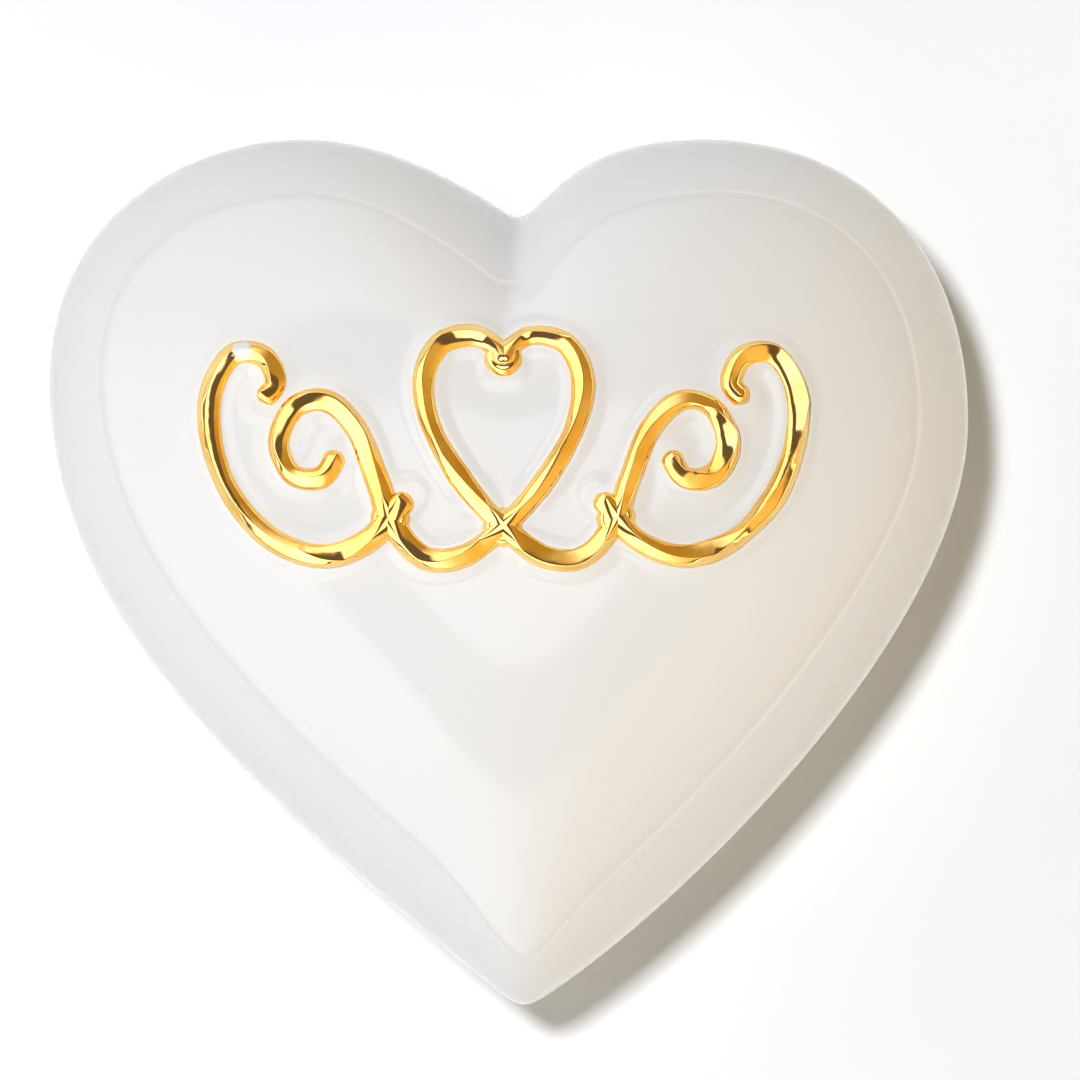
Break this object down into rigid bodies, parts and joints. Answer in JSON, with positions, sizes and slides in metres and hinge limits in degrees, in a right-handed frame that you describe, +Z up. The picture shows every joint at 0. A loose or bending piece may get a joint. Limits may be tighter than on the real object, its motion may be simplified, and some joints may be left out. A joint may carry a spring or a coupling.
{
  "type": "heart-shaped trinket box",
  "caption": "Heart-shaped glazed porcelain trinket box: a shallow heart bowl and a domed lift-off lid that carries raised gilded scrollwork.",
  "frame": {"origin": "on the table, below the centre of the heart's bounding box", "axes": "+X across the two lobes towards the right one, +Y from the tip towards the lobes, +Z up; the lid lifts along +Z"},
  "size_m": [0.115, 0.1082, 0.0576],
  "materials": {
    "porcelain": "clear glossy glaze over white porcelain, bare and matt where the two rims meet and on the foot ring",
    "gold_lustre": "bright fired gold lustre, mirror-like, on hand-pressed clay cord",
    "felt": "off-white wool felt"
  },
  "bodies": {
    "base": {"bowl": "porcelain", "felt_pad_left": "felt", "felt_pad_right": "felt", "felt_pad_tip": "felt"},
    "cover": {"lid": "porcelain", "scroll_left": "gold_lustre", "scroll_right": "gold_lustre", "tendril_left": "gold_lustre", "tendril_right": "gold_lustre"}
  },
  "joints": [
    {"name": "lid_lift", "type": "slide", "parent": "base", "child": "cover", "axis": [0, 0, 1], "range_m": [0, 0.07]}
  ]
}
